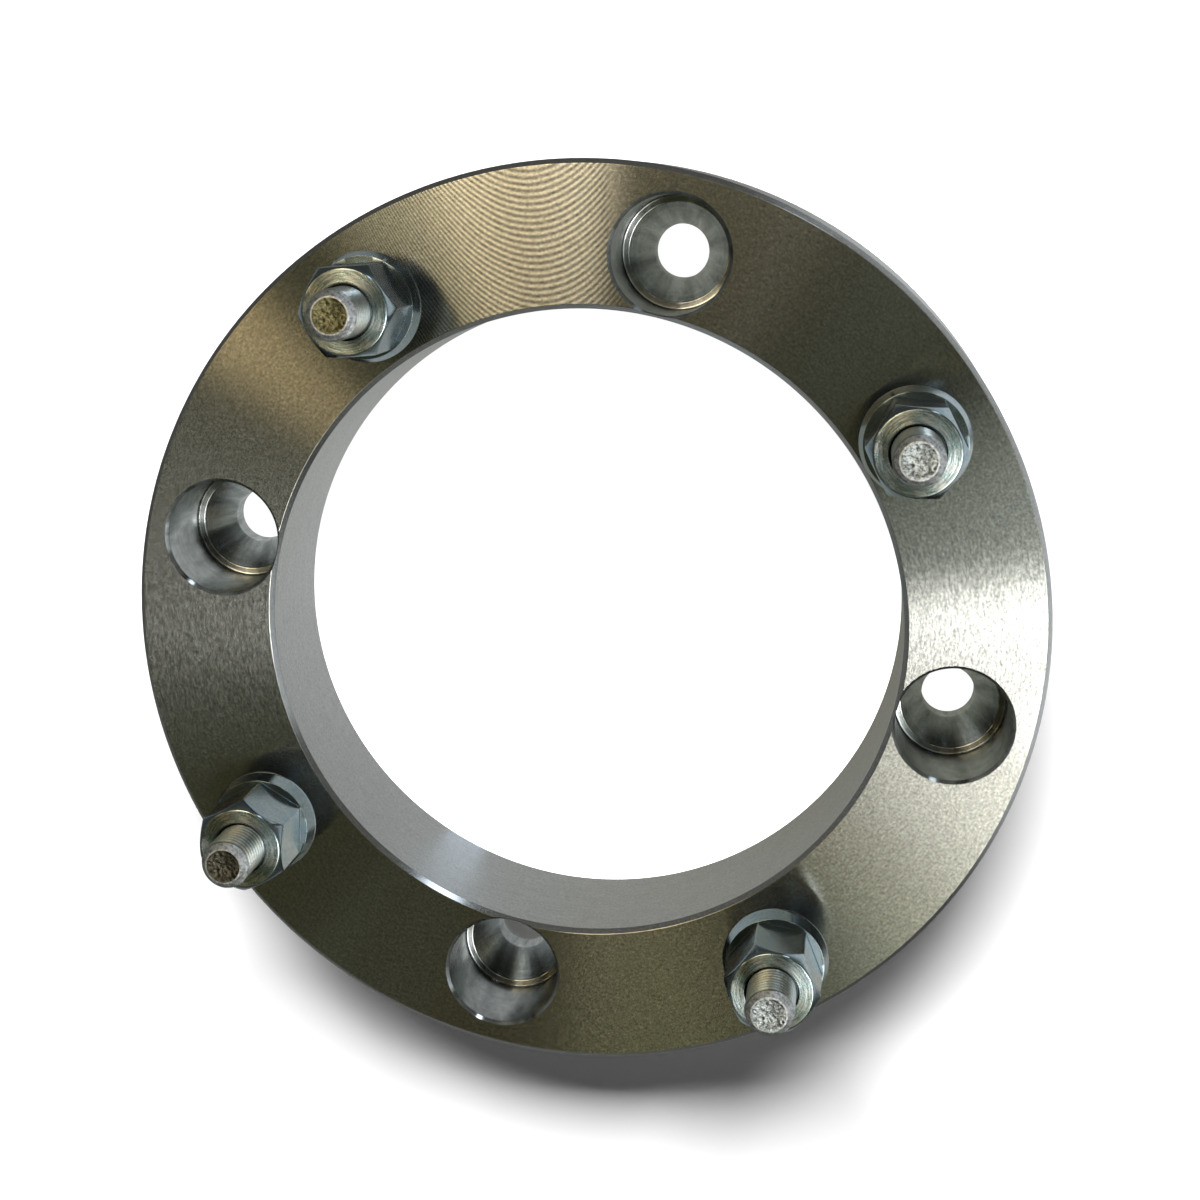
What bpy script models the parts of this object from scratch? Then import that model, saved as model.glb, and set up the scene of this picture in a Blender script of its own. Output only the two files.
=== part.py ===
"""Bolt-on wheel spacer for a four-stud hub: a turned aluminium ring with four
counterbored holes for the hub studs, four pressed-in wheel studs and four
tapered lug nuts.

The ring lies flat on its hub face at z = 0, with its axis on +Z and the wheel
studs pointing up. Lengths are in metres.
"""

import math

import bpy

MM = 0.001

# Ring
RING_RADIUS = 94.75 * MM
BORE_RADIUS = 65.5 * MM
RING_HEIGHT = 31.75 * MM
OUTER_CHAMFER = 1.0 * MM
BORE_CHAMFER = 0.95 * MM
RING_STEPS = 120

# Bolt pattern: the hub holes at 0, 90, 180 and 270 degrees, the wheel studs
# half way between them on the same circle
PATTERN_RADIUS = 78.0 * MM
HOLE_COUNT = 4

# Hub hole: counterbore for the nut, flat floor, conical seat, through hole
RIM_RADIUS = 12.45 * MM
RIM_CHAMFER = 0.65 * MM
WALL_RADIUS = RIM_RADIUS - RIM_CHAMFER
FLOOR_DEPTH = 19.0 * MM
SEAT_RADIUS = 10.3 * MM
HOLE_RADIUS = 5.65 * MM
SEAT_ANGLE = math.radians(30)
HOLE_STEPS = 40

# Wheel stud
THREAD_RADIUS = 4.9 * MM
TIP_HEIGHT = RING_HEIGHT + 36.5 * MM
TIP_RADIUS = 3.65 * MM
TIP_CHAMFER = 1.25 * MM
KNURL_RADIUS = 5.6 * MM
KNURL_TOP = 17.0 * MM
KNURL_RIDGES = 20
HEAD_RADIUS = 8.4 * MM
HEAD_BOTTOM = 0.7 * MM
HEAD_TOP = 3.9 * MM
STUD_STEPS = 28
GAP = 0.3 * MM

# Lug nut: nose, 60 degree cone, rim, flat shoulder, deeply chamfered hex
NUT_BOTTOM = RING_HEIGHT + GAP
NUT_TOP = RING_HEIGHT + 26.0 * MM
NUT_BORE = THREAD_RADIUS + GAP
NOSE_RADIUS = 6.2 * MM
NOSE_TOP = RING_HEIGHT + 0.5 * MM
NUT_RIM_RADIUS = 10.9 * MM
CONE_TOP = NOSE_TOP + (NUT_RIM_RADIUS - NOSE_RADIUS) / math.tan(SEAT_ANGLE)
NUT_RIM_TOP = RING_HEIGHT + 9.3 * MM
SHOULDER_RADIUS = 10.05 * MM
SHOULDER_TOP = RING_HEIGHT + 12.45 * MM
ACROSS_FLATS = 17.0 * MM
CHAMFER_CIRCLE = 8.2 * MM
CHAMFER_ANGLE = math.radians(57)
MOUTH_RADIUS = 5.9 * MM
NUT_STEPS = 36
# How far each nut is turned on its stud
NUT_TURNS = (9.8, 16.4, 41.1, 4.4)


def clear_scene():
    for obj in list(bpy.data.objects):
        bpy.data.objects.remove(obj, do_unlink=True)


def material(name, colour, roughness, metallic):
    mat = bpy.data.materials.new(name)
    mat.use_nodes = True
    shader = mat.node_tree.nodes["Principled BSDF"]
    shader.inputs["Base Color"].default_value = (*colour, 1)
    shader.inputs["Roughness"].default_value = roughness
    shader.inputs["Metallic"].default_value = metallic
    mat.diffuse_color = (*colour, 1)
    return mat


def link(name, mesh):
    obj = bpy.data.objects.new(name, mesh)
    bpy.context.scene.collection.objects.link(obj)
    return obj


def lathe(name, profile, steps, closed=False):
    """A turned solid: the (radius, height) profile runs down its outer side."""
    mesh = bpy.data.meshes.new(name)
    points = [(r, 0, z) for r, z in profile]
    edges = [(i, i + 1) for i in range(len(points) - 1)]
    if closed:
        edges.append((len(points) - 1, 0))
    mesh.from_pydata(points, edges, [])
    obj = link(name, mesh)
    screw = obj.modifiers.new("Turn", "SCREW")
    screw.axis = "Z"
    screw.angle = math.tau
    screw.steps = steps
    screw.render_steps = steps
    screw.use_merge_vertices = True
    screw.merge_threshold = 0.00001
    screw.use_smooth_shade = False
    return obj


def prism(name, sides, radius, bottom, top):
    """An upright prism with its first corner on +X."""
    corners = [
        (radius * math.cos(math.tau * i / sides), radius * math.sin(math.tau * i / sides))
        for i in range(sides)
    ]
    points = [(x, y, bottom) for x, y in corners] + [(x, y, top) for x, y in corners]
    faces = [tuple(reversed(range(sides))), tuple(range(sides, 2 * sides))]
    faces += [
        (i, (i + 1) % sides, sides + (i + 1) % sides, sides + i) for i in range(sides)
    ]
    mesh = bpy.data.meshes.new(name)
    mesh.from_pydata(points, [], faces)
    return link(name, mesh)


def boolean(obj, other, operation):
    mod = obj.modifiers.new(operation.title() + " " + other.name, "BOOLEAN")
    mod.operation = operation
    mod.solver = "EXACT"
    mod.object = other
    other.hide_render = True
    other.display_type = "WIRE"
    return mod


def around(index, offset=0.0):
    angle = math.tau * index / HOLE_COUNT + offset
    return angle, (PATTERN_RADIUS * math.cos(angle), PATTERN_RADIUS * math.sin(angle), 0)


def make_ring(mat):
    r, b, h = RING_RADIUS, BORE_RADIUS, RING_HEIGHT
    c, d = OUTER_CHAMFER, BORE_CHAMFER
    ring = lathe(
        "spacer_ring",
        [(b + d, h), (r - c, h), (r, h - c), (r, c), (r - c, 0), (b + d, 0), (b, d), (b, h - d)],
        RING_STEPS,
        closed=True,
    )
    over = 1.0 * MM
    seat_depth = FLOOR_DEPTH + (SEAT_RADIUS - HOLE_RADIUS) / math.tan(SEAT_ANGLE)
    for index in range(HOLE_COUNT):
        _, place = around(index)
        hole = lathe(
            f"hub_hole_cutter_{index + 1}",
            [
                (0, h + over),
                (RIM_RADIUS + over, h + over),
                (WALL_RADIUS, h - RIM_CHAMFER),
                (WALL_RADIUS, h - FLOOR_DEPTH),
                (SEAT_RADIUS, h - FLOOR_DEPTH),
                (HOLE_RADIUS, h - seat_depth),
                (HOLE_RADIUS, -over),
                (0, -over),
            ],
            HOLE_STEPS,
        )
        hole.location = place
        boolean(ring, hole, "DIFFERENCE")
        angle, place = around(index, math.pi / HOLE_COUNT)
        stud_hole = lathe(
            f"stud_hole_cutter_{index + 1}",
            [
                (0, h + over),
                (THREAD_RADIUS + GAP, h + over),
                (THREAD_RADIUS + GAP, KNURL_TOP + 2 * GAP),
                (KNURL_RADIUS + GAP, KNURL_TOP + GAP),
                (KNURL_RADIUS + GAP, HEAD_TOP + GAP),
                (HEAD_RADIUS + 2 * GAP, HEAD_TOP + GAP),
                (HEAD_RADIUS + 2 * GAP, -over),
                (0, -over),
            ],
            STUD_STEPS,
        )
        stud_hole.location = place
        boolean(ring, stud_hole, "DIFFERENCE")
    ring.data.materials.append(mat)
    return ring


def make_stud(index, mat):
    angle, place = around(index, math.pi / HOLE_COUNT)
    stud = lathe(
        f"wheel_stud_{index + 1}",
        [
            (0, TIP_HEIGHT),
            (TIP_RADIUS, TIP_HEIGHT),
            (THREAD_RADIUS, TIP_HEIGHT - TIP_CHAMFER),
            (THREAD_RADIUS, KNURL_TOP - GAP),
            (THREAD_RADIUS - 0.2 * MM, HEAD_TOP + GAP),
            (THREAD_RADIUS - 0.2 * MM, HEAD_TOP),
            (HEAD_RADIUS - 0.4 * MM, HEAD_TOP),
            (HEAD_RADIUS, HEAD_TOP - 0.4 * MM),
            (HEAD_RADIUS, HEAD_BOTTOM + 0.6 * MM),
            (HEAD_RADIUS - 0.6 * MM, HEAD_BOTTOM),
            (0, HEAD_BOTTOM),
        ],
        STUD_STEPS,
    )
    # The knurl: a band of straight ridges round the shank, above the head
    points, faces = [], []
    count = 2 * KNURL_RIDGES
    for z in (HEAD_TOP - 0.5 * MM, KNURL_TOP):
        for i in range(count):
            radius = KNURL_RADIUS if i % 2 else KNURL_RADIUS - 0.35 * MM
            turn = math.tau * i / count
            points.append((radius * math.cos(turn), radius * math.sin(turn), z))
    faces = [tuple(reversed(range(count))), tuple(range(count, 2 * count))]
    faces += [
        (i, (i + 1) % count, count + (i + 1) % count, count + i) for i in range(count)
    ]
    mesh = bpy.data.meshes.new(f"knurl_{index + 1}")
    mesh.from_pydata(points, [], faces)
    knurl = link(f"knurl_{index + 1}", mesh)
    knurl.location = place
    knurl.rotation_euler = (0, 0, angle)
    stud.location = place
    boolean(stud, knurl, "UNION")
    stud.data.materials.append(mat)
    return stud


def make_nut(index, mat):
    _, place = around(index, math.pi / HOLE_COUNT)
    turn = math.radians(NUT_TURNS[index])
    seat = lathe(
        f"lug_nut_{index + 1}",
        [
            (0, SHOULDER_TOP),
            (SHOULDER_RADIUS, SHOULDER_TOP),
            (NUT_RIM_RADIUS, NUT_RIM_TOP),
            (NUT_RIM_RADIUS, CONE_TOP),
            (NOSE_RADIUS, NOSE_TOP),
            (NOSE_RADIUS, NUT_BOTTOM),
            (0, NUT_BOTTOM),
        ],
        NUT_STEPS,
    )
    corner = ACROSS_FLATS / math.sqrt(3)
    over = 1.0 * MM
    hexagon = prism(
        f"hex_{index + 1}", 6, corner, CONE_TOP + 0.3 * MM, NUT_TOP + over
    )
    drop = (corner + over - CHAMFER_CIRCLE) * math.tan(CHAMFER_ANGLE)
    envelope = lathe(
        f"hex_envelope_{index + 1}",
        [
            (0, NUT_TOP),
            (CHAMFER_CIRCLE, NUT_TOP),
            (corner + over, NUT_TOP - drop),
            (corner + over, CONE_TOP),
            (0, CONE_TOP),
        ],
        NUT_STEPS * 2,
    )
    bore = lathe(
        f"nut_bore_{index + 1}",
        [
            (0, NUT_TOP + over),
            (MOUTH_RADIUS + over, NUT_TOP + over),
            (NUT_BORE, NUT_TOP - (MOUTH_RADIUS - NUT_BORE)),
            (NUT_BORE, NUT_BOTTOM - over),
            (0, NUT_BOTTOM - over),
        ],
        STUD_STEPS,
    )
    for obj in (seat, hexagon, envelope, bore):
        obj.location = place
        obj.rotation_euler = (0, 0, turn)
    boolean(hexagon, envelope, "INTERSECT")
    boolean(seat, hexagon, "UNION")
    boolean(seat, bore, "DIFFERENCE")
    seat.data.materials.append(mat)
    return seat


def main():
    clear_scene()
    aluminium = material("machined_aluminium", (0.50, 0.48, 0.42), 0.28, 1.0)
    stud_zinc = material("zinc_plated_stud", (0.55, 0.57, 0.56), 0.30, 1.0)
    nut_zinc = material("zinc_plated_nut", (0.50, 0.54, 0.55), 0.22, 1.0)
    make_ring(aluminium)
    for index in range(HOLE_COUNT):
        make_stud(index, stud_zinc)
        make_nut(index, nut_zinc)


main()
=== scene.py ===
import math

import bmesh
import bpy
import numpy as np
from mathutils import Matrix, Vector, noise


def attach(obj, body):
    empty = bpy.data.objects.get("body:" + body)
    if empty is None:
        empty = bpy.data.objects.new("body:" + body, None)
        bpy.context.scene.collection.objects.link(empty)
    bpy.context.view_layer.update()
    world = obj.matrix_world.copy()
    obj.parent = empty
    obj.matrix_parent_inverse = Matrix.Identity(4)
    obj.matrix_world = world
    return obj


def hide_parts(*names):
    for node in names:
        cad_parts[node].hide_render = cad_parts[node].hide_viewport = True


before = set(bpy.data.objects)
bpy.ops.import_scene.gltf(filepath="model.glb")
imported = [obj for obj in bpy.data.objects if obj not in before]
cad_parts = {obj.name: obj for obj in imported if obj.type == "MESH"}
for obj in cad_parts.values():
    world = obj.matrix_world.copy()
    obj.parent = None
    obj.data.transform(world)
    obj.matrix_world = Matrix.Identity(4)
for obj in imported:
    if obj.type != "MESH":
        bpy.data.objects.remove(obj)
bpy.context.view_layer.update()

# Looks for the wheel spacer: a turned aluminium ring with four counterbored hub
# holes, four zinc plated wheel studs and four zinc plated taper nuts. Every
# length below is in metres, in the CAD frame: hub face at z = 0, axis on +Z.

MM = 0.001
TAU = math.tau

# Ring
RING_RADIUS = 94.75 * MM
BORE_RADIUS = 65.5 * MM
RING_HEIGHT = 31.75 * MM
OUTER_CHAMFER = 1.0 * MM
BORE_CHAMFER = 0.95 * MM
PATTERN_RADIUS = 78.0 * MM

# Hub hole
RIM_RADIUS = 12.45 * MM
RIM_CHAMFER = 0.65 * MM
WALL_RADIUS = RIM_RADIUS - RIM_CHAMFER
FLOOR_DEPTH = 19.0 * MM
SEAT_RADIUS = 10.3 * MM
HOLE_RADIUS = 5.65 * MM
SEAT_ANGLE = math.radians(30)

# Stud
THREAD_RADIUS = 4.9 * MM
THREAD_PITCH = 1.25 * MM
THREAD_DEPTH = 0.67 * MM
TIP_HEIGHT = RING_HEIGHT + 36.5 * MM
TIP_RADIUS = 3.65 * MM
TIP_CHAMFER = 1.25 * MM
KNURL_RADIUS = 5.6 * MM
KNURL_TOP = 17.0 * MM
HEAD_RADIUS = 8.4 * MM
HEAD_BOTTOM = 0.7 * MM
HEAD_TOP = 3.9 * MM
GAP = 0.3 * MM

# Nut
NUT_BOTTOM = RING_HEIGHT + GAP
NUT_TOP = RING_HEIGHT + 26.0 * MM
NOSE_RADIUS = 6.2 * MM
NOSE_TOP = RING_HEIGHT + 0.5 * MM
NUT_RIM_RADIUS = 10.9 * MM
CONE_TOP = NOSE_TOP + (NUT_RIM_RADIUS - NOSE_RADIUS) / math.tan(SEAT_ANGLE)
NUT_RIM_TOP = RING_HEIGHT + 9.3 * MM
SHOULDER_RADIUS = 10.05 * MM
SHOULDER_TOP = RING_HEIGHT + 12.45 * MM
HALF_FLATS = 8.5 * MM
CHAMFER_CIRCLE = 8.2 * MM
CHAMFER_ANGLE = math.radians(57)
MOUTH_RADIUS = 5.40 * MM
VISUAL_BORE = 4.98 * MM
NUT_TURNS = (9.8, 16.4, 41.1, 4.4)

# The picture's upright direction, as an angle in the ring's plane
VIEW_TURN = math.radians(13.9166)


# ---------------------------------------------------------------- geometry


def circle(radius, z, count, start=0.0):
    angles = start + np.arange(count) * TAU / count
    return np.stack(
        [radius * np.cos(angles), radius * np.sin(angles), np.full(count, z)], 1
    )


def skin(rows, closed=False):
    """Points and faces between loops of equal length. A row of one point closes an end."""
    points, starts = [], []
    for row in rows:
        starts.append(len(points))
        points.extend(tuple(float(c) for c in p) for p in row)
    pairs = [(i, i + 1) for i in range(len(rows) - 1)]
    if closed:
        pairs.append((len(rows) - 1, 0))
    faces = []
    for a, b in pairs:
        na, nb = len(rows[a]), len(rows[b])
        sa, sb = starts[a], starts[b]
        for i in range(max(na, nb)):
            j = (i + 1) % max(na, nb)
            if na == 1:
                faces.append((sa, sb + i, sb + j))
            elif nb == 1:
                faces.append((sa + i, sb, sa + j))
            else:
                faces.append((sa + i, sb + i, sb + j, sa + j))
    return points, faces


def fillet(profile, closed=False, steps=3):
    """The (radius, height, rounding) corners as a polyline, each corner rounded by its own radius."""
    count = len(profile)
    out = []
    for i, (r, z, size) in enumerate(profile):
        here = Vector((r, z))
        if size <= 0 or (not closed and i in (0, count - 1)):
            out.append((r, z))
            continue
        before = Vector(profile[i - 1][:2]) - here
        after = Vector(profile[(i + 1) % count][:2]) - here
        la, lb = before.length, after.length
        before.normalize()
        after.normalize()
        angle = math.acos(max(-1.0, min(1.0, before.dot(after))))
        if angle > math.radians(176):
            out.append((r, z))
            continue
        reach = min(size / math.tan(angle / 2), 0.45 * la, 0.45 * lb)
        radius = reach * math.tan(angle / 2)
        start, end = here + before * reach, here + after * reach
        centre = here + (before + after).normalized() * (radius / math.sin(angle / 2))
        va, vb = start - centre, end - centre
        turn = va.angle_signed(vb)
        for k in range(steps + 1):
            t = turn * k / steps
            c, s = math.cos(-t), math.sin(-t)
            out.append(
                (centre.x + va.x * c - va.y * s, centre.y + va.x * s + va.y * c)
            )
    return out


def build(name, points, faces, materials, sharp=32.0, place=(0, 0, 0), weld=True):
    mesh = bpy.data.meshes.new(name)
    mesh.from_pydata(points, [], faces)
    mesh.update()
    bm = new_bmesh(mesh)
    if weld:
        bmesh.ops.remove_doubles(bm, verts=bm.verts, dist=1e-7)
        bmesh.ops.dissolve_degenerate(bm, edges=bm.edges, dist=1e-7)
    if bm.calc_volume(signed=True) < 0:
        bmesh.ops.reverse_faces(bm, faces=bm.faces)
    bm.to_mesh(mesh)
    bm.free()
    for mat in materials:
        mesh.materials.append(mat)
    mesh.shade_smooth()
    mesh.set_sharp_from_angle(angle=math.radians(sharp))
    obj = bpy.data.objects.new(name, mesh)
    obj.location = place
    bpy.context.scene.collection.objects.link(obj)
    return obj


def new_bmesh(mesh):
    bm = bmesh.new()
    bm.from_mesh(mesh)
    return bm


def lathe(name, profile, count, materials, closed=False, **extra):
    rows = []
    for r, z in profile:
        rows.append(
            np.array([[0.0, 0.0, z]]) if r < 1e-9 else circle(r, z, count)
        )
    points, faces = skin(rows, closed)
    return build(name, points, faces, materials, **extra)


def applied(obj, sharp=32.0):
    """The object's mesh with its modifiers in it, shaded smooth between sharp edges."""
    graph = bpy.context.evaluated_depsgraph_get()
    mesh = bpy.data.meshes.new_from_object(obj.evaluated_get(graph))
    obj.modifiers.clear()
    old = obj.data
    obj.data = mesh
    bpy.data.meshes.remove(old)
    mesh.shade_smooth()
    mesh.set_sharp_from_angle(angle=math.radians(sharp))
    return obj


def flat_first(obj):
    """Large flat faces keep their own normal, so a small round edge beside one doesn't shade it."""
    mod = obj.modifiers.new("Flat first", "WEIGHTED_NORMAL")
    mod.mode = "FACE_AREA"
    mod.weight = 100
    mod.keep_sharp = True
    return obj


# --------------------------------------------------------------- materials


class Graph:
    """Short names for building a node tree."""

    def __init__(self, name):
        self.mat = bpy.data.materials.new(name)
        self.mat.use_nodes = True
        self.tree = self.mat.node_tree
        self.shader = self.tree.nodes["Principled BSDF"]

    def node(self, kind, **settings):
        made = self.tree.nodes.new(kind)
        for key, value in settings.items():
            setattr(made, key, value)
        return made

    def link(self, source, target):
        self.tree.links.new(source, target)

    def feed(self, target, value):
        if hasattr(value, "is_output"):
            self.link(value, target)
        else:
            target.default_value = value

    def math(self, operation, *values, clamp=False):
        made = self.node("ShaderNodeMath", operation=operation, use_clamp=clamp)
        for socket, value in zip(made.inputs, values):
            self.feed(socket, value)
        return made.outputs[0]

    def vector(self, operation, *values):
        made = self.node("ShaderNodeVectorMath", operation=operation)
        for socket, value in zip(made.inputs, values):
            self.feed(socket, value)
        if operation == "SCALE":
            self.feed(made.inputs["Scale"], values[-1])
        return made.outputs["Value" if operation in ("LENGTH", "DOT_PRODUCT") else "Vector"]

    def separate(self, vector):
        made = self.node("ShaderNodeSeparateXYZ")
        self.link(vector, made.inputs[0])
        return made.outputs[0], made.outputs[1], made.outputs[2]

    def combine(self, x, y, z):
        made = self.node("ShaderNodeCombineXYZ")
        for socket, value in zip(made.inputs, (x, y, z)):
            self.feed(socket, value)
        return made.outputs[0]

    def noise(self, vector=None, w=None, scale=1.0, detail=2.0, roughness=0.5):
        made = self.node("ShaderNodeTexNoise")
        if vector is None:
            made.noise_dimensions = "1D"
            self.feed(made.inputs["W"], w)
        else:
            self.link(vector, made.inputs["Vector"])
        made.inputs["Scale"].default_value = scale
        made.inputs["Detail"].default_value = detail
        made.inputs["Roughness"].default_value = roughness
        return made.outputs[0]

    def streaks(self, place, depth, width, length):
        """Noise drawn out round the Z axis: features 1/width thick and 1/length long."""
        x, y, _ = self.separate(place)
        stretched = self.combine(
            self.math("MULTIPLY", depth, width),
            self.math("MULTIPLY", x, length),
            self.math("MULTIPLY", y, length),
        )
        return self.noise(vector=stretched, detail=2.0, roughness=0.6)

    def smooth(self, value, low, high, to_low=0.0, to_high=1.0):
        made = self.node("ShaderNodeMapRange", interpolation_type="SMOOTHSTEP")
        self.feed(made.inputs["Value"], value)
        made.inputs["From Min"].default_value = low
        made.inputs["From Max"].default_value = high
        made.inputs["To Min"].default_value = to_low
        made.inputs["To Max"].default_value = to_high
        return made.outputs[0]

    def mix(self, share, a, b):
        made = self.node("ShaderNodeMix", data_type="RGBA")
        self.feed(made.inputs[0], share)
        self.feed(made.inputs[6], a)
        self.feed(made.inputs[7], b)
        return made.outputs[2]

    def bump(self, height, strength, distance, normal=None):
        made = self.node("ShaderNodeBump")
        made.inputs["Strength"].default_value = strength
        made.inputs["Distance"].default_value = distance
        self.link(height, made.inputs["Height"])
        if normal is not None:
            self.link(normal, made.inputs["Normal"])
        return made.outputs[0]

    def metal(self, colour, roughness, anisotropic=0.0):
        self.feed(self.shader.inputs["Base Color"], colour)
        self.feed(self.shader.inputs["Roughness"], roughness)
        self.shader.inputs["Metallic"].default_value = 1.0
        self.shader.inputs["Anisotropic"].default_value = anisotropic
        # The tangent runs along the tool's path, and the grooves spread the light across it
        self.shader.inputs["Anisotropic Rotation"].default_value = 0.25
        return self.mat


def rgba(r, g, b):
    return (r, g, b, 1.0)


def turned_tangent(g, point):
    """The direction of the lathe's tool at a point: round the Z axis."""
    x, y, z = g.separate(point)
    return g.vector("NORMALIZE", g.combine(g.math("MULTIPLY", y, -1.0), x, 0.0)), x, y, z


def face_material():
    """The faced sides of the ring: bright turned aluminium with tool marks."""
    g = Graph("ring_face")
    place = g.node("ShaderNodeTexCoord").outputs["Object"]
    tangent, x, y, z = turned_tangent(g, place)
    g.link(tangent, g.shader.inputs["Tangent"])
    radius = g.vector("LENGTH", g.combine(x, y, 0.0))
    # Marks of the tool's sweep: nested arcs on one sector of the ring
    ca, sa = math.cos(VIEW_TURN + math.radians(95)), math.sin(VIEW_TURN + math.radians(95))
    along = g.math("ADD", g.math("MULTIPLY", x, ca), g.math("MULTIPLY", y, sa))
    across = g.math("SUBTRACT", g.math("MULTIPLY", y, ca), g.math("MULTIPLY", x, sa))
    bend = g.math("DIVIDE", g.math("MULTIPLY", across, across), 28.0 * MM)
    drift = g.noise(vector=place, scale=60.0, detail=1.0)
    phase = g.math("SUBTRACT", along, bend)
    phase = g.math("ADD", phase, g.math("MULTIPLY", drift, 0.7 * MM))
    wave = g.math("SINE", g.math("MULTIPLY", phase, TAU / (1.28 * MM)))
    side = g.math("MULTIPLY", g.smooth(across, -16 * MM, -13 * MM), g.smooth(across, 12 * MM, 52 * MM, 1.0, 0.0))
    upper = g.smooth(along, 15 * MM, 35 * MM)
    sector = g.math("MULTIPLY", side, upper)
    arcs = g.math("MULTIPLY", wave, sector)
    # Turning lines: short streaks round the axis, and a fine grain over all
    fine = g.streaks(place, radius, 2100.0, 650.0)
    grain = g.noise(vector=place, scale=1800.0, detail=2.0, roughness=0.7)
    spread = g.math("SUBTRACT", grain, 0.5)
    tone = g.math("SUBTRACT", 0.79, g.math("MULTIPLY", sector, 0.13))
    tone = g.math("ADD", tone, g.math("MULTIPLY", arcs, 0.30))
    # Painted highlight over the real turning streaks: they are drawn stronger on a strip across the centre, more
    # on the left side than the right, where the ring's bright highlights fall
    cb, sb = math.cos(VIEW_TURN + math.radians(3)), math.sin(VIEW_TURN + math.radians(3))
    beside = g.math("SUBTRACT", g.math("MULTIPLY", y, cb), g.math("MULTIPLY", x, sb))
    highlight_streak_band = g.smooth(g.math("ABSOLUTE", beside), 8 * MM, 24 * MM)
    ahead = g.math("ADD", g.math("MULTIPLY", x, cb), g.math("MULTIPLY", y, sb))
    peak = g.smooth(ahead, -20 * MM, 20 * MM, 1.3, 0.9)
    highlight_streak_band = g.math("ADD", 0.40, g.math("MULTIPLY", g.math("SUBTRACT", 1.0, highlight_streak_band), peak))
    tone = g.math("ADD", tone, g.math("MULTIPLY", g.math("SUBTRACT", fine, 0.5), highlight_streak_band))
    tone = g.math("ADD", tone, g.math("MULTIPLY", spread, 0.80))
    warm = g.noise(vector=place, scale=1100.0, detail=1.0)
    tint = g.mix(g.smooth(warm, 0.35, 0.65), rgba(1.0, 0.975, 0.92), rgba(0.98, 0.99, 0.92))
    colour = g.vector("SCALE", tint, tone)
    rough = g.math("ADD", 0.18, g.math("MULTIPLY", spread, 0.05))
    g.link(g.bump(fine, 1.0, 0.002 * MM), g.shader.inputs["Normal"])
    return g.metal(colour, rough, 1.0)


def wall_material():
    """The turned bore and outer wall: satin, with rings of tool marks."""
    g = Graph("ring_wall")
    place = g.node("ShaderNodeTexCoord").outputs["Object"]
    tangent, x, y, z = turned_tangent(g, place)
    g.link(tangent, g.shader.inputs["Tangent"])
    fine = g.streaks(place, z, 2600.0, 160.0)
    grain = g.noise(vector=place, scale=1900.0, detail=2.0, roughness=0.7)
    tone = g.math("ADD", 0.76, g.math("MULTIPLY", g.math("SUBTRACT", grain, 0.5), 0.60))
    tone = g.math("ADD", tone, g.math("MULTIPLY", g.math("SUBTRACT", fine, 0.5), 0.25))
    colour = g.vector("SCALE", (0.985, 0.99, 0.985), tone)
    rough = g.math("ADD", 0.42, g.math("MULTIPLY", g.math("SUBTRACT", grain, 0.5), 0.12))
    g.link(g.bump(fine, 0.5, 0.01 * MM), g.shader.inputs["Normal"])
    return g.metal(colour, rough, 0.75)


def edge_material():
    """The ring's chamfers: cut last, so brighter and smoother than the walls."""
    g = Graph("ring_edge")
    place = g.node("ShaderNodeTexCoord").outputs["Object"]
    tangent, x, y, z = turned_tangent(g, place)
    g.link(tangent, g.shader.inputs["Tangent"])
    fine = g.streaks(place, z, 4000.0, 300.0)
    grain = g.noise(vector=place, scale=1900.0, detail=2.0, roughness=0.7)
    tone = g.math("ADD", 0.80, g.math("MULTIPLY", g.math("SUBTRACT", grain, 0.5), 0.40))
    tone = g.math("ADD", tone, g.math("MULTIPLY", g.math("SUBTRACT", fine, 0.5), 0.25))
    colour = g.vector("SCALE", (0.99, 0.99, 0.98), tone)
    rough = g.math("ADD", 0.20, g.math("MULTIPLY", g.math("SUBTRACT", grain, 0.5), 0.10))
    g.link(g.bump(fine, 0.5, 0.01 * MM), g.shader.inputs["Normal"])
    return g.metal(colour, rough, 0.7)


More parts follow.
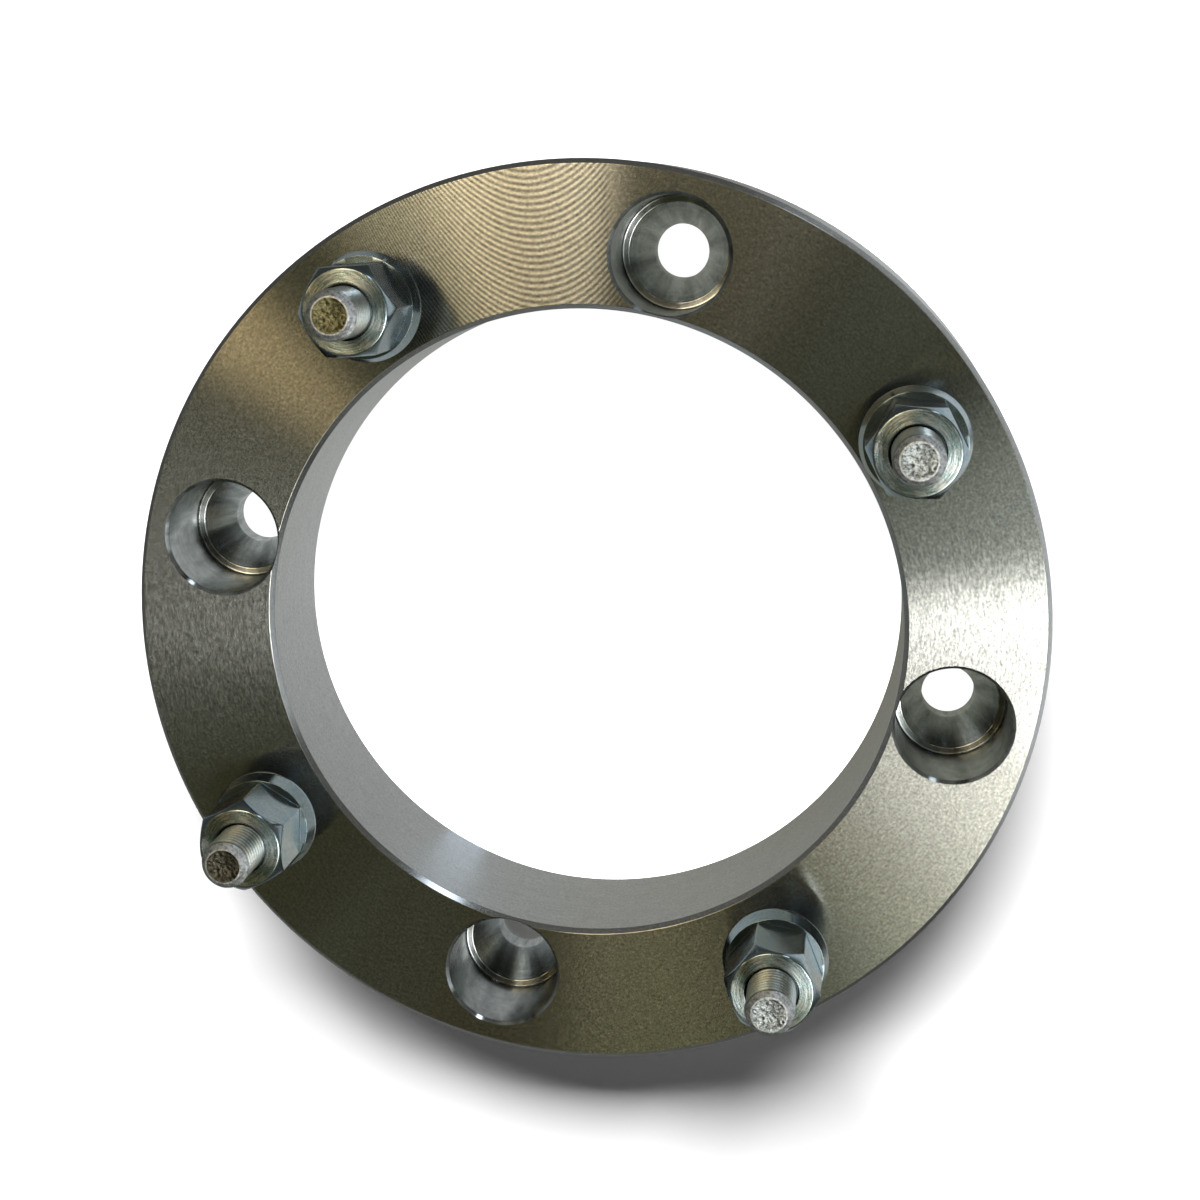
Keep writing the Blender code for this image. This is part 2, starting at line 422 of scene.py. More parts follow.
def hole_material():
    """The counterbores: bright drilled and bored metal, turned round each hole's own axis."""
    g = Graph("ring_counterbore")
    place = g.node("ShaderNodeTexCoord").outputs["Object"]
    x, y, z = g.separate(place)
    wide = g.math("GREATER_THAN", g.math("ABSOLUTE", x), g.math("ABSOLUTE", y))
    cx = g.math("MULTIPLY", g.math("MULTIPLY", g.math("SIGN", x), wide), PATTERN_RADIUS)
    cy = g.math(
        "MULTIPLY",
        g.math("MULTIPLY", g.math("SIGN", y), g.math("SUBTRACT", 1.0, wide)),
        PATTERN_RADIUS,
    )
    dx, dy = g.math("SUBTRACT", x, cx), g.math("SUBTRACT", y, cy)
    tangent = g.vector("NORMALIZE", g.combine(g.math("MULTIPLY", dy, -1.0), dx, 0.0))
    g.link(tangent, g.shader.inputs["Tangent"])
    radius = g.vector("LENGTH", g.combine(dx, dy, 0.0))
    travel = g.math("ADD", radius, z)
    fine = g.noise(w=travel, scale=2600.0, detail=1.0)
    broad = g.noise(w=travel, scale=700.0, detail=2.0)
    lines = g.math("ADD", g.math("MULTIPLY", fine, 0.5), g.math("MULTIPLY", broad, 0.5))
    grain = g.noise(vector=place, scale=1800.0, detail=3.0, roughness=0.7)
    # Painted reflection: broad light and dark streaks down each wall, in place of the radial highlights of the
    # turned walls
    painted_wall_streaks = g.noise(
        vector=g.combine(g.math("DIVIDE", dx, radius), g.math("DIVIDE", dy, radius), g.math("MULTIPLY", z, 35.0)),
        scale=3.2,
        detail=3.0,
        roughness=0.6,
    )
    tone = g.math("ADD", 0.74, g.math("MULTIPLY", g.math("SUBTRACT", grain, 0.5), 0.36))
    tone = g.math("ADD", tone, g.math("MULTIPLY", g.math("SUBTRACT", painted_wall_streaks, 0.5), 1.3))
    tone = g.math("ADD", tone, g.math("MULTIPLY", g.math("SUBTRACT", lines, 0.5), 0.40))
    colour = g.vector("SCALE", (0.95, 0.99, 0.98), tone)
    rough = g.math("ADD", 0.17, g.math("MULTIPLY", g.math("SUBTRACT", grain, 0.5), 0.06))
    g.link(g.bump(lines, 0.15, 0.03 * MM), g.shader.inputs["Normal"])
    return g.metal(colour, rough, 0.95)


def zinc_material(name, tint, base_rough, mottling):
    """Bright zinc plate over turned steel, with its blue-green cast, a little cloudy."""
    g = Graph(name)
    place = g.node("ShaderNodeTexCoord").outputs["Object"]
    g.link(turned_tangent(g, place)[0], g.shader.inputs["Tangent"])
    cloud = g.noise(vector=place, scale=260.0, detail=3.0, roughness=0.6)
    grain = g.noise(vector=place, scale=1900.0, detail=2.0, roughness=0.7)
    warm = g.smooth(cloud, 0.35, 0.70)
    colour = g.mix(warm, rgba(*tint), rgba(tint[0] * 0.86, tint[1] * 0.94, tint[2] * 1.02))
    shade = g.math("ADD", 1.0, g.math("MULTIPLY", g.math("SUBTRACT", grain, 0.5), mottling))
    colour = g.vector("SCALE", colour, shade)
    rough = g.math("ADD", base_rough, g.math("MULTIPLY", g.math("SUBTRACT", cloud, 0.5), 0.14))
    height = g.math("ADD", g.math("MULTIPLY", cloud, 0.6), g.math("MULTIPLY", grain, 0.4))
    g.link(g.bump(height, 0.35, 0.04 * MM), g.shader.inputs["Normal"])
    return g.metal(colour, rough, 0.6)


def front_material():
    """The nut's turned front: plated, its fine rings spreading the light."""
    g = Graph("nut_front_turned")
    place = g.node("ShaderNodeTexCoord").outputs["Object"]
    tangent, x, y, z = turned_tangent(g, place)
    g.link(tangent, g.shader.inputs["Tangent"])
    radius = g.vector("LENGTH", g.combine(x, y, 0.0))
    rings = g.streaks(place, radius, 3300.0, 420.0)
    cloud = g.noise(vector=place, scale=420.0, detail=2.0)
    grain = g.noise(vector=place, scale=1900.0, detail=2.0, roughness=0.7)
    tint = g.mix(g.smooth(cloud, 0.35, 0.65), rgba(0.74, 0.90, 0.90), rgba(0.90, 0.96, 0.92))
    tone = g.math("ADD", 0.82, g.math("MULTIPLY", g.math("SUBTRACT", rings, 0.5), 2.0))
    tone = g.math("ADD", tone, g.math("MULTIPLY", g.math("SUBTRACT", grain, 0.5), 0.5))
    colour = g.vector("SCALE", tint, tone)
    rough = g.math("ADD", 0.27, g.math("MULTIPLY", g.math("SUBTRACT", cloud, 0.5), 0.15))
    g.link(g.bump(rings, 1.0, 0.01 * MM), g.shader.inputs["Normal"])
    return g.metal(colour, rough, 0.8)


def thread_material():
    """The stud's zinc plate, with painted shade down in the thread."""
    g = Graph("stud_zinc_plate")
    place = g.node("ShaderNodeTexCoord").outputs["Object"]
    tangent, x, y, z = turned_tangent(g, place)
    g.link(tangent, g.shader.inputs["Tangent"])
    radius = g.vector("LENGTH", g.combine(x, y, 0.0))
    grain = g.noise(vector=place, scale=1900.0, detail=2.0, roughness=0.7)
    cloud = g.noise(vector=place, scale=300.0, detail=2.0)
    # Painted shade: the colour falls to a tenth towards the thread's root
    thread_root_shade = g.smooth(radius, THREAD_RADIUS - 0.55 * MM, THREAD_RADIUS - 0.08 * MM, 0.10, 1.0)
    tint = g.mix(g.smooth(cloud, 0.35, 0.65), rgba(0.80, 0.90, 0.90), rgba(0.88, 0.88, 0.80))
    tone = g.math("ADD", 1.0, g.math("MULTIPLY", g.math("SUBTRACT", grain, 0.5), 0.6))
    colour = g.vector("SCALE", tint, g.math("MULTIPLY", tone, thread_root_shade))
    rough = g.math("ADD", 0.30, g.math("MULTIPLY", g.math("SUBTRACT", cloud, 0.5), 0.12))
    g.link(g.bump(grain, 0.3, 0.03 * MM), g.shader.inputs["Normal"])
    return g.metal(colour, rough, 0.0)


def rim_material():
    """The stud's end chamfer: rolled over and bright."""
    g = Graph("stud_end_rim")
    place = g.node("ShaderNodeTexCoord").outputs["Object"]
    grain = g.noise(vector=place, scale=1500.0, detail=3.0, roughness=0.7)
    tone = g.smooth(grain, 0.30, 0.62, 0.45, 1.0)
    colour = g.vector("SCALE", (0.96, 0.98, 1.0), tone)
    rough = g.math("ADD", 0.50, g.math("MULTIPLY", g.math("SUBTRACT", grain, 0.5), 0.2))
    g.link(g.bump(grain, 0.6, 0.06 * MM), g.shader.inputs["Normal"])
    return g.metal(colour, rough, 0.0)


def tip_material(name, tint, share):
    """The stud's sheared end: coarse, sparkling. Its tint and share paint reflection into each stud's copy."""
    g = Graph(name)
    place = g.node("ShaderNodeTexCoord").outputs["Object"]
    cell = g.node("ShaderNodeTexVoronoi")
    g.link(place, cell.inputs["Vector"])
    cell.inputs["Scale"].default_value = 1300.0
    grain = g.noise(vector=place, scale=1300.0, detail=4.0, roughness=0.8)
    broad = g.noise(vector=place, scale=330.0, detail=1.0)
    pits = g.math("MULTIPLY", g.smooth(grain, 0.36, 0.60), g.smooth(broad, 0.25, 0.60, 0.45, 1.0))
    tone = g.math("ADD", 0.12 * share, g.math("MULTIPLY", pits, 0.88 * share))
    colour = g.vector("SCALE", tint, tone)
    height = g.math("ADD", g.math("MULTIPLY", grain, 0.5), g.math("MULTIPLY", cell.outputs["Distance"], 0.5))
    g.link(g.bump(height, 1.0, 0.30 * MM), g.shader.inputs["Normal"])
    rough = g.math("ADD", 0.32, g.math("MULTIPLY", grain, 0.2))
    return g.metal(colour, rough, 0.0)


# ------------------------------------------------------------------ pieces


def make_ring(face, wall, hole, edge):
    r, b, h = RING_RADIUS, BORE_RADIUS, RING_HEIGHT
    c, d, e = OUTER_CHAMFER, BORE_CHAMFER, 0.16 * MM
    profile = fillet(
        [
            (b + d, h, e),
            (r - c, h, e),
            (r, h - c, e),
            (r, c, e),
            (r - c, 0, e),
            (b + d, 0, e),
            (b, d, e),
            (b, h - d, e),
        ],
        closed=True,
        steps=2,
    )
    ring = lathe("spacer_ring_turned", profile, 360, [face, wall, edge], closed=True)
    for poly in ring.data.polygons:
        rise = abs(poly.normal.z)
        poly.material_index = 0 if rise > 0.95 else 2 if rise > 0.2 else 1
    over = 1.0 * MM
    seat_depth = FLOOR_DEPTH + (SEAT_RADIUS - HOLE_RADIUS) / math.tan(SEAT_ANGLE)
    cutters = []
    for index in range(4):
        angle = TAU * index / 4
        place = (PATTERN_RADIUS * math.cos(angle), PATTERN_RADIUS * math.sin(angle), 0)
        profile = fillet(
            [
                (0, h + over, 0),
                (RIM_RADIUS + over, h + over, 0),
                (WALL_RADIUS, h - RIM_CHAMFER, 0.2 * MM),
                (WALL_RADIUS, h - FLOOR_DEPTH, 0.5 * MM),
                (SEAT_RADIUS, h - FLOOR_DEPTH, 0.25 * MM),
                (HOLE_RADIUS, h - seat_depth, 0.2 * MM),
                (HOLE_RADIUS, -over, 0),
                (0, -over, 0),
            ],
            steps=3,
        )
        cutters.append(lathe(f"hub_hole_{index}", profile, 96, [hole], place=place))
        angle += TAU / 8
        place = (PATTERN_RADIUS * math.cos(angle), PATTERN_RADIUS * math.sin(angle), 0)
        profile = [
            (0, h + over),
            (THREAD_RADIUS + GAP, h + over),
            (THREAD_RADIUS + GAP, KNURL_TOP + 2 * GAP),
            (KNURL_RADIUS + GAP, KNURL_TOP + GAP),
            (KNURL_RADIUS + GAP, HEAD_TOP + GAP),
            (HEAD_RADIUS + 2 * GAP, HEAD_TOP + GAP),
            (HEAD_RADIUS + 2 * GAP, -over),
            (0, -over),
        ]
        cutters.append(lathe(f"stud_hole_{index}", profile, 64, [hole], place=place))
    for cutter in cutters:
        mod = ring.modifiers.new("Cut " + cutter.name, "BOOLEAN")
        mod.operation = "DIFFERENCE"
        mod.solver = "EXACT"
        mod.material_mode = "TRANSFER"
        mod.object = cutter
    applied(ring, 25.0)
    for cutter in cutters:
        bpy.data.objects.remove(cutter, do_unlink=True)
    flat_first(ring)
    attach(ring, "root")
    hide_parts("spacer_ring")
    return ring


def thread_height(share):
    """How far a thread stands above its root, from 0 to 1, along one pitch."""
    share %= 1.0
    if share < 0.08 or share > 0.92:
        return 1.0
    if share < 0.42:
        return 1.0 - (share - 0.08) / 0.34
    if share < 0.58:
        return 0.0
    return (share - 0.58) / 0.34


THREAD_STOPS = (0.0, 0.08, 0.25, 0.42, 0.58, 0.75, 0.92)


def make_stud(index, materials):
    angle = TAU * index / 4 + TAU / 8
    place = (PATTERN_RADIUS * math.cos(angle), PATTERN_RADIUS * math.sin(angle), 0)
    count = 72
    bottom, top = KNURL_TOP + 1.2 * MM, TIP_HEIGHT - 0.16 * MM
    core = THREAD_RADIUS - THREAD_DEPTH

    def limit(z):
        """The stud's envelope: it narrows at its tip, and to its core below the thread."""
        if z > TIP_HEIGHT - TIP_CHAMFER:
            t = (z - (TIP_HEIGHT - TIP_CHAMFER)) / (top - (TIP_HEIGHT - TIP_CHAMFER))
            return THREAD_RADIUS + (TIP_RADIUS - THREAD_RADIUS) * t
        if z < bottom + 0.8 * MM:
            t = (z - bottom) / (0.8 * MM)
            return core - 0.05 * MM + (THREAD_RADIUS - core + 0.05 * MM) * t
        return THREAD_RADIUS

    turns = int((top - bottom) / THREAD_PITCH) + 3
    heights = [
        bottom + (k - 1 + s) * THREAD_PITCH for k in range(turns) for s in THREAD_STOPS
    ]
    per = len(THREAD_STOPS)
    grid = []
    for base in heights:
        row = []
        for i in range(count):
            z = min(max(base + THREAD_PITCH * i / count, bottom), top)
            share = (z - bottom) / THREAD_PITCH - i / count
            r = min(core + THREAD_DEPTH * thread_height(share), limit(z))
            a = TAU * i / count
            row.append((r * math.cos(a), r * math.sin(a), z))
        grid.append(row)
    points = [p for row in grid for p in row]
    faces = []
    for k in range(len(grid) - 1):
        for i in range(count):
            if i < count - 1:
                quad = (k * count + i, k * count + i + 1, (k + 1) * count + i + 1, (k + 1) * count + i)
            elif k + 1 + per < len(grid):
                quad = (k * count + i, (k + per) * count, (k + 1 + per) * count, (k + 1) * count + i)
            else:
                continue
            faces.append(quad)
    # The first turn below the grid's start, closed at the wrap
    for k in range(per):
        faces.append((k * count, (k + 1) * count, (k + 1) * count, k * count))
    faces = [f for f in faces if len(set(f)) > 2]

    # Tip: a rough, slightly dished end
    seed = Vector((3.1 * index, 7.7 * index, 1.3 * index))
    tip_rows = [circle(TIP_RADIUS, top, count)]
    steps = 24
    for k in range(1, steps):
        share = 1 - k / steps
        r = TIP_RADIUS * share
        row = []
        for i in range(count):
            a = TAU * i / count
            p = Vector((r * math.cos(a), r * math.sin(a), 0))
            rough = noise.fractal(p * 1500 + seed, 0.7, 2.2, 4)
            crater = noise.noise(p * 420 + seed * 2)
            lift = 0.05 * rough + 0.05 * crater
            edge = min(1.0, (1 - share) * 6)
            dish = -0.30 * (1 - (share / 0.86) ** 2) if share < 0.86 else 0.05
            z = top + MM * edge * (lift + dish)
            row.append((p.x, p.y, min(z, TIP_HEIGHT - 0.01 * MM)))
        tip_rows.append(row)
    middle = np.mean(np.array(tip_rows[-1]), 0)
    tip_rows.append([(0.0, 0.0, float(middle[2]))])
    tip_points, tip_faces = skin(tip_rows)

    # Shank, knurl and head below the thread
    knurl = []
    for z, scale in ((KNURL_TOP, 0.0), (KNURL_TOP - 0.6 * MM, 1.0), (HEAD_TOP + 0.3 * MM, 1.0), (HEAD_TOP + 0.05 * MM, 0.6)):
        row = []
        for i in range(count):
            a = TAU * i / count
            ridge = (0.5 + 0.5 * math.cos(a * 18)) * 0.45 * MM
            r = KNURL_RADIUS - (1 - scale) * 0.5 * MM - ridge * scale
            row.append((r * math.cos(a), r * math.sin(a), z))
        knurl.append(row)
    low_rows = [circle(core - 0.05 * MM, bottom, count), circle(core - 0.05 * MM, KNURL_TOP + 0.3 * MM, count)]
    low_rows += knurl
    for r, z in fillet(
        [
            (KNURL_RADIUS, HEAD_TOP, 0),
            (HEAD_RADIUS - 0.1 * MM, HEAD_TOP, 0.3 * MM),
            (HEAD_RADIUS, HEAD_BOTTOM + 0.7 * MM, 0.2 * MM),
            (HEAD_RADIUS - 0.7 * MM, HEAD_BOTTOM, 0.25 * MM),
            (2.6 * MM, HEAD_BOTTOM, 0.1 * MM),
            (2.2 * MM, HEAD_BOTTOM + 0.25 * MM, 0.1 * MM),
        ]
    ):
        low_rows.append(circle(r, z, count))
    low_rows.append([(0.0, 0.0, HEAD_BOTTOM + 0.25 * MM)])
    low_points, low_faces = skin(low_rows)

    first = len(points)
    points += tip_points
    faces += [tuple(first + i for i in f) for f in tip_faces]
    second = len(points)
    points += low_points
    faces += [tuple(second + i for i in f) for f in low_faces]
    stud = build(f"wheel_stud_threaded_{index + 1}", points, faces, materials, 30.0, place)
    bm = new_bmesh(stud.data)
    bmesh.ops.remove_doubles(bm, verts=bm.verts, dist=2e-6)
    bmesh.ops.dissolve_degenerate(bm, edges=bm.edges, dist=1e-6)
    holes = [e for e in bm.edges if e.is_boundary]
    if holes:
        bmesh.ops.holes_fill(bm, edges=holes, sides=0)
    bmesh.ops.recalc_face_normals(bm, faces=bm.faces)
    for f in bm.faces:
        middle = f.calc_center_median()
        if middle.z > TIP_HEIGHT - 0.9 * MM and math.hypot(middle.x, middle.y) < TIP_RADIUS - 0.25 * MM:
            f.material_index = 1
        elif middle.z > TIP_HEIGHT - TIP_CHAMFER:
            f.material_index = 2
    bm.to_mesh(stud.data)
    bm.free()
    stud.data.shade_smooth()
    stud.data.set_sharp_from_angle(angle=math.radians(34))
    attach(stud, "root")
    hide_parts(f"wheel_stud_{index + 1}")
    return stud


HALF_FLAT = (0, 3, 6, 9, 12, 15, 18, 21, 24, 26, 27.5, 28.6, 29.1, 29.5, 29.8, 30)


def make_nut(index, materials):
    angle = TAU * index / 4 + TAU / 8
    place = (PATTERN_RADIUS * math.cos(angle), PATTERN_RADIUS * math.sin(angle), 0)
    turn = math.radians(NUT_TURNS[index])
    columns = []
    for flat in range(6):
        for a in [-v for v in reversed(HALF_FLAT)][:-1]:
            columns.append((flat * 60 + 30 + a, abs(a)))
        for a in HALF_FLAT[:-1]:
            columns.append((flat * 60 + 30 + a, abs(a)))
    rho = 0.55 * MM
    limit = math.degrees(math.atan((HALF_FLATS - rho) * math.tan(math.pi / 6) / HALF_FLATS))
    reach = []
    for _, off in columns:
        if off <= limit:
            reach.append(HALF_FLATS / math.cos(math.radians(off)))
        else:
            psi = math.radians(30 - off)
            c = (HALF_FLATS - rho) / math.cos(math.pi / 6)
            reach.append(c * math.cos(psi) + math.sqrt(rho**2 - (c * math.sin(psi)) ** 2))
    reach = np.array(reach)
    angles = np.array([math.radians(a) for a, _ in columns]) + turn
    cosines, sines = np.cos(angles), np.sin(angles)

    def row(radius, z):
        radius = np.broadcast_to(radius, angles.shape)
        z = np.broadcast_to(z, angles.shape)
        return np.stack([radius * cosines, radius * sines, z], 1)

    def cone(radius):
        return NUT_TOP - (radius - CHAMFER_CIRCLE) * math.tan(CHAMFER_ANGLE)

    rows = []
    # Bore and countersunk mouth
    rows.append(row(VISUAL_BORE, NUT_TOP - 0.65 * MM))
    rows.append(row(VISUAL_BORE + 0.05 * MM, NUT_TOP - 0.52 * MM))
    rows.append(row(MOUTH_RADIUS - 0.08 * MM, NUT_TOP - 0.13 * MM))
    rows.append(row(MOUTH_RADIUS, NUT_TOP - 0.04 * MM))
    # Front face, with the rings a form tool leaves
    ring, end = MOUTH_RADIUS + 0.10 * MM, CHAMFER_CIRCLE - 0.35 * MM
    step, k = 0.13 * MM, index
    depths = (0.0, 0.010, 0.003, 0.0, 0.008, 0.012, 0.0, 0.006, 0.0, 0.010)
    while ring < end:
        rows.append(row(ring, NUT_TOP - depths[k % len(depths)] * MM))
        ring += step
        k += 1
    # Rounded into the chamfer
    for share in (0.0, 0.33, 0.66, 1.0):
        turned = CHAMFER_ANGLE * share
        r = CHAMFER_CIRCLE - 0.24 * MM + 0.45 * MM * math.sin(turned)
        rows.append(row(r, NUT_TOP - 0.45 * MM * (1 - math.cos(turned))))
    edge = CHAMFER_CIRCLE - 0.24 * MM + 0.45 * MM * math.sin(CHAMFER_ANGLE)
    drop = 0.45 * MM * (1 - math.cos(CHAMFER_ANGLE))
    slant = math.tan(CHAMFER_ANGLE)

    def cone(radius):
        return NUT_TOP - drop - np.maximum(radius - edge, 0) * slant

    # Chamfer cone out to the flats
    out = np.maximum(reach - 0.07 * MM, edge + 0.01 * MM)
    rows.append(row(edge + (out - edge) * 0.5, cone(edge + (out - edge) * 0.5)))
    rows.append(row(out, cone(out)))
    rows.append(row(reach - 0.01 * MM, cone(reach) - 0.05 * MM))
    rows.append(row(reach, cone(reach) - 0.15 * MM))
    # Flats down to the shoulder
    top_z, low_z = cone(reach) - 0.15 * MM, SHOULDER_TOP + 0.20 * MM
    for share in (0.33, 0.66, 1.0):
        rows.append(row(reach, top_z + (low_z - top_z) * share))
    rows.append(row(reach + 0.02 * MM, SHOULDER_TOP + 0.06 * MM))
    rows.append(row(np.minimum(reach + 0.12 * MM, SHOULDER_RADIUS - 0.12 * MM), SHOULDER_TOP))
    # Rim, cone and nose
    rim = fillet(
        [
            (SHOULDER_RADIUS - 0.10 * MM, SHOULDER_TOP, 0),
            (SHOULDER_RADIUS, SHOULDER_TOP, 0.14 * MM),
            (NUT_RIM_RADIUS - 0.05 * MM, NUT_RIM_TOP + 0.25 * MM, 0.8 * MM),
            (NUT_RIM_RADIUS, NUT_RIM_TOP, 0.3 * MM),
            (NUT_RIM_RADIUS, CONE_TOP, 0.25 * MM),
            (NOSE_RADIUS, NOSE_TOP, 0.3 * MM),
            (NOSE_RADIUS, NUT_BOTTOM, 0.1 * MM),
            (VISUAL_BORE + 0.2 * MM, NUT_BOTTOM, 0.1 * MM),
            (VISUAL_BORE, NUT_BOTTOM + 0.3 * MM, 0),
        ],
        steps=3,
    )
    for r, z in rim[1:]:
        rows.append(row(r, z))
    points, faces = skin(rows, closed=True)
    nut = build(f"lug_nut_turned_{index + 1}", points, faces, materials, 28.0, place)
    for poly in nut.data.polygons:
        if poly.normal.z > 0.9 and poly.center.z > NUT_TOP - 0.2 * MM:
            poly.material_index = 1
    flat_first(nut)
    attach(nut, "root")
    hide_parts(f"lug_nut_{index + 1}")
    return nut


# ------------------------------------------------------------------- stage


def make_floor():
    size = 3.0
    mesh = bpy.data.meshes.new("floor")
    mesh.from_pydata(
        [(-size, -size, 0), (size, -size, 0), (size, size, 0), (-size, size, 0)], [], [(0, 1, 2, 3)]
    )
    floor = bpy.data.objects.new("floor", mesh)
    floor.location = (0, 0, -0.0003)
    bpy.context.scene.collection.objects.link(floor)
    g = Graph("pale_floor")
    g.shader.inputs["Roughness"].default_value = 0.9
    g.shader.inputs["Specular IOR Level"].default_value = 0.0
    g.shader.inputs["Emission Strength"].default_value = 1.0
    # A pale table. Where the part stands it glows for the eye, painted light, save under the hub hole at -Y.
    # Metal sees it dimmer than the eye does, as it would a table further away.
    place = g.node("ShaderNodeTexCoord").outputs["Object"]
    x, y, z = g.separate(place)
    reach = g.vector("LENGTH", g.combine(x, y, 0.0))
    painted_glow_under_part = g.smooth(reach, 91 * MM, 94 * MM, 1.0, 0.0)
    shaded = g.vector("LENGTH", g.combine(x, g.math("ADD", y, PATTERN_RADIUS), 0.0))
    painted_glow_under_part = g.math("MULTIPLY", painted_glow_under_part, g.smooth(shaded, 8 * MM, 10 * MM))
    path = g.node("ShaderNodeLightPath").outputs["Is Camera Ray"]
    g.link(g.mix(path, rgba(0, 0, 0), rgba(0.9, 0.9, 0.9)), g.shader.inputs["Base Color"])
    seen = g.math("ADD", g.math("MULTIPLY", painted_glow_under_part, 0.94), 0.06)
    # Inside the ring the table is lit from one side
    la, lb = math.cos(VIEW_TURN + LIT_SIDE), math.sin(VIEW_TURN + LIT_SIDE)
    lean = g.math("ADD", g.math("MULTIPLY", x, la / BORE_RADIUS), g.math("MULTIPLY", y, lb / BORE_RADIUS))
    inner = g.mix(g.smooth(lean, -1.0, 1.0), rgba(*INNER_DIM), rgba(*INNER_LIT))
    # A strip of light lies across it
    turn = g.math("SUBTRACT", g.math("ARCTAN2", y, x), STRIP_TURN)
    strip = g.smooth(g.math("ABSOLUTE", turn), math.radians(2.5), math.radians(5.5), 1.0, 0.0)
    inner = g.vector("ADD", inner, g.vector("SCALE", (0.24, 0.30, 0.38), strip))
    # Outside the ring it is light near by, and further off only on the right
    right = g.math(
        "DIVIDE",
        g.math("ADD", g.math("MULTIPLY", x, math.cos(RIGHT_SIDE)), g.math("MULTIPLY", y, math.sin(RIGHT_SIDE))),
        reach,
    )
    outer = g.mix(g.smooth(right, 0.50, 0.90), rgba(*OUTER_DIM), rgba(*OUTER_LIT))
    outer = g.mix(g.smooth(reach, 130 * MM, 170 * MM, 0.4, 0.0), outer, rgba(*OUTER_LIT))
    felt = g.mix(painted_glow_under_part, outer, inner)
    g.link(g.mix(path, felt, g.combine(seen, seen, seen)), g.shader.inputs["Emission Color"])
    mesh.materials.append(g.mat)
    return floor


# How bright the table looks to the metal standing on it, inside the bore from
# its dimmer side to the side that is lit, and outside the ring
INNER_DIM, INNER_LIT = (0.215, 0.22, 0.185), (0.40, 0.415, 0.41)
LIT_SIDE = math.radians(195)
STRIP_TURN = VIEW_TURN - math.radians(119.5)
RIGHT_SIDE = VIEW_TURN + math.radians(14)
OUTER_DIM, OUTER_LIT = (0.05, 0.05, 0.045), (0.62, 0.65, 0.66)

# Where the ring's centre mirrors the view: the studio's cards are laid out as
# sectors round this point of the sky, (x / z, y / z)
SKY_CENTRE = (-33.42 / 379.07, -99.46 / 379.07)

# Each card: from and to angle in degrees, softness of its two ends, nearest
# and furthest tilt (tangent from the sky centre), colour
HIGH, LOW = (0.30, 0.80), (1.3, 3.2)
CARDS = (
    (340.8, 362, 0.6, 8, HIGH, (6.2, 6.2, 6.1)),
    (354, 369, 8, 8, HIGH, (9.0, 9.0, 8.9)),
    (358, 395, 6, 20, HIGH, (0.97, 1.08, 1.03)),
    (300, 341, 38, 1, HIGH, (2.26, 2.20, 2.05)),
    (318, 341, 20, 1, HIGH, (1.5, 1.5, 1.5)),
    (285, 341, 30, 1, HIGH, (0.62, 0.68, 0.52)),
    (85.5, 114, 1.5, 10, HIGH, (3.05, 2.50, 1.66)),
    (85.5, 98, 1.5, 8, HIGH, (0.85, 0.85, 0.75)),
    (98, 127, 8, 12, HIGH, (1.30, 1.15, 0.75)),
    (34, 58, 8, 8, HIGH, (0.12, 0.13, 0.13)),
    (134, 149, 4, 5, HIGH, (1.50, 1.13, 0.58)),
    (50, 84, 14, 4, HIGH, (0.27, 0.23, 0.17)),
    (262, 292, 10, 10, HIGH, (0.03, 0.07, 0.02)),
    (229, 236, 2, 2, HIGH, (0.05, 0.06, 0.05)),
    # Windows near the horizon, for the upright walls
    (57, 67, 3, 3, LOW, (2.4, 2.8, 3.2)),
    (150, 175, 8, 8, LOW, (0.05, 0.06, 0.07)),
    (330, 378, 10, 10, LOW, (0.42, 0.46, 0.49)),
    (225, 250, 6, 6, LOW, (0.15, 0.17, 0.20)),
)


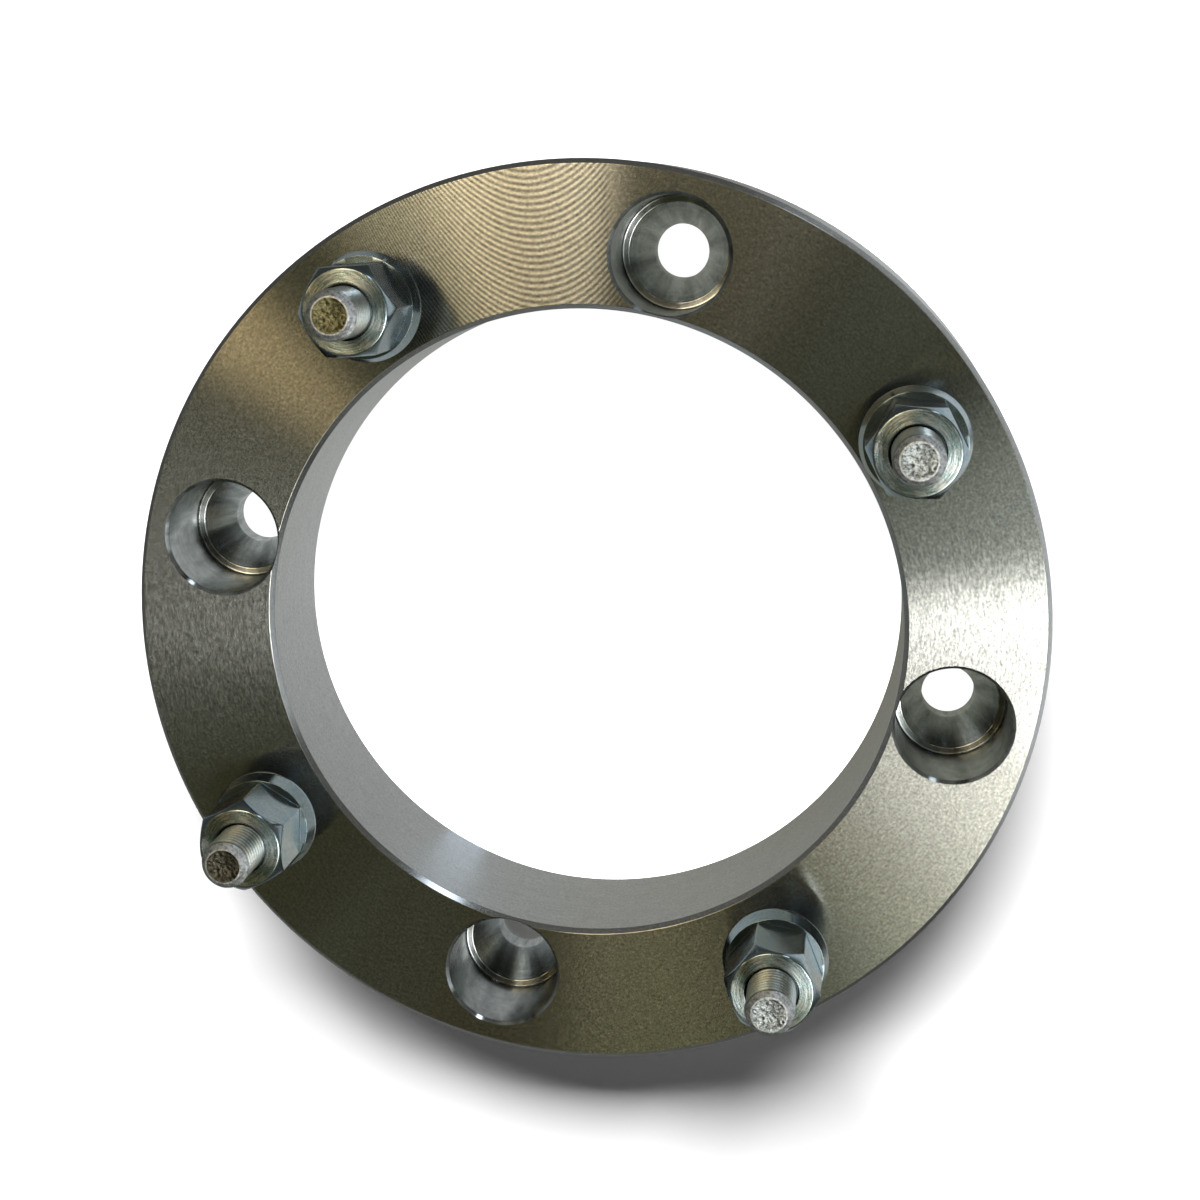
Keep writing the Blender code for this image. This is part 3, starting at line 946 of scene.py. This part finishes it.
def make_world():
    world = bpy.data.worlds.new("studio")
    bpy.context.scene.world = world
    world.use_nodes = True
    g = Graph.__new__(Graph)
    g.tree = world.node_tree
    background = g.tree.nodes["Background"]
    way = g.node("ShaderNodeTexCoord").outputs["Generated"]
    x, y, z = g.separate(way)
    up = g.math("MAXIMUM", z, 0.02)
    px = g.math("SUBTRACT", g.math("DIVIDE", x, up), SKY_CENTRE[0])
    py = g.math("SUBTRACT", g.math("DIVIDE", y, up), SKY_CENTRE[1])
    tilt = g.math("SQRT", g.math("ADD", g.math("MULTIPLY", px, px), g.math("MULTIPLY", py, py)))
    angle = g.math("ARCTAN2", py, px)
    low = g.smooth(tilt, 1.0, 2.2)
    total = g.mix(low, rgba(0.033, 0.033, 0.018), rgba(0.085, 0.088, 0.084))
    for start, end, soft_a, soft_b, (near, far), colour in CARDS:
        middle = (start + end) / 2 + math.degrees(VIEW_TURN)
        half = (end - start) / 2
        # The angle from the card's middle, wrapped to +-180 degrees
        off = g.math("SUBTRACT", angle, math.radians(middle))
        off = g.math("WRAP", off, math.pi, -math.pi)
        rise = g.smooth(off, math.radians(-half), math.radians(-half + soft_a))
        fall = g.smooth(off, math.radians(half - soft_b), math.radians(half), 1.0, 0.0)
        ring = g.math("MULTIPLY", g.smooth(tilt, near, near + 0.12), g.smooth(tilt, far, far + 0.3, 1.0, 0.0))
        share = g.math("MULTIPLY", g.math("MULTIPLY", rise, fall), ring)
        light = g.vector("SCALE", colour, share)
        total = g.vector("ADD", total, light)
    above = g.smooth(z, -0.02, 0.03)
    seen = g.mix(above, rgba(0.08, 0.08, 0.08), total)
    path = g.node("ShaderNodeLightPath")
    # Light that reaches the eye by way of two mirrors or more is dimmer
    second = g.math("GREATER_THAN", path.outputs["Ray Depth"], 2.5)
    seen = g.vector("SCALE", seen, g.math("SUBTRACT", 1.0, g.math("MULTIPLY", second, 0.87)))
    seen = g.mix(path.outputs["Is Camera Ray"], seen, rgba(1, 1, 1))
    g.link(seen, background.inputs["Color"])
    background.inputs["Strength"].default_value = 1.0
    world.cycles.sampling_method = "MANUAL"
    world.cycles.sample_map_resolution = 1024
    world.cycles_visibility.diffuse = False


def area(name, place, aim, size, power, colour=(1, 1, 1), spread=180.0):
    data = bpy.data.lights.new(name, "AREA")
    data.shape = "RECTANGLE"
    data.size, data.size_y = size
    data.energy = power
    data.color = colour
    data.spread = math.radians(spread)
    obj = bpy.data.objects.new(name, data)
    obj.location = place
    obj.rotation_euler = (Vector(aim) - Vector(place)).to_track_quat("-Z", "Y").to_euler()
    bpy.context.scene.collection.objects.link(obj)
    return obj


def make_camera():
    data = bpy.data.cameras.new("camera")
    data.sensor_fit = "HORIZONTAL"
    data.sensor_width = 36.0
    data.lens = 57.331
    data.clip_start, data.clip_end = 0.01, 20.0
    camera = bpy.data.objects.new("camera", data)
    camera.location = (33.42 * MM, 99.46 * MM, 410.82 * MM)
    camera.rotation_euler = [math.radians(a) for a in (-12.2364, 7.6900, 12.9768)]
    bpy.context.scene.collection.objects.link(camera)
    bpy.context.scene.camera = camera


def main():
    make_camera()
    make_world()
    make_floor()
    way = VIEW_TURN + math.radians(90)
    key = area("key", (1.0 * math.cos(way), 1.0 * math.sin(way), 1.06), (0, 0, 0), (0.90, 0.52), 55.0)
    key.visible_glossy = False
    face, wall, hole, edge = face_material(), wall_material(), hole_material(), edge_material()
    nut_zinc = zinc_material("nut_zinc_plate", (0.50, 0.58, 0.60), 0.17, 0.7)
    nut_front, stud_zinc, rim = front_material(), thread_material(), rim_material()
    # The tips are lit and shaded copies of one material: their white, gold and dark tints are painted reflection
    bright = tip_material("stud_tip_bright", (0.91, 0.97, 1.0), 1.0)
    gold_reflection_tip = tip_material("stud_tip_gold_reflection", (0.86, 0.78, 0.42), 0.50)
    dark = tip_material("stud_tip_dark", (0.90, 0.84, 0.66), 0.24)
    make_ring(face, wall, hole, edge)
    for index in range(4):
        make_stud(index, [stud_zinc, (bright, gold_reflection_tip, dark, bright)[index], rim])
        make_nut(index, [nut_zinc, nut_front])
    bpy.context.scene.view_settings.view_transform = "Standard"


main()
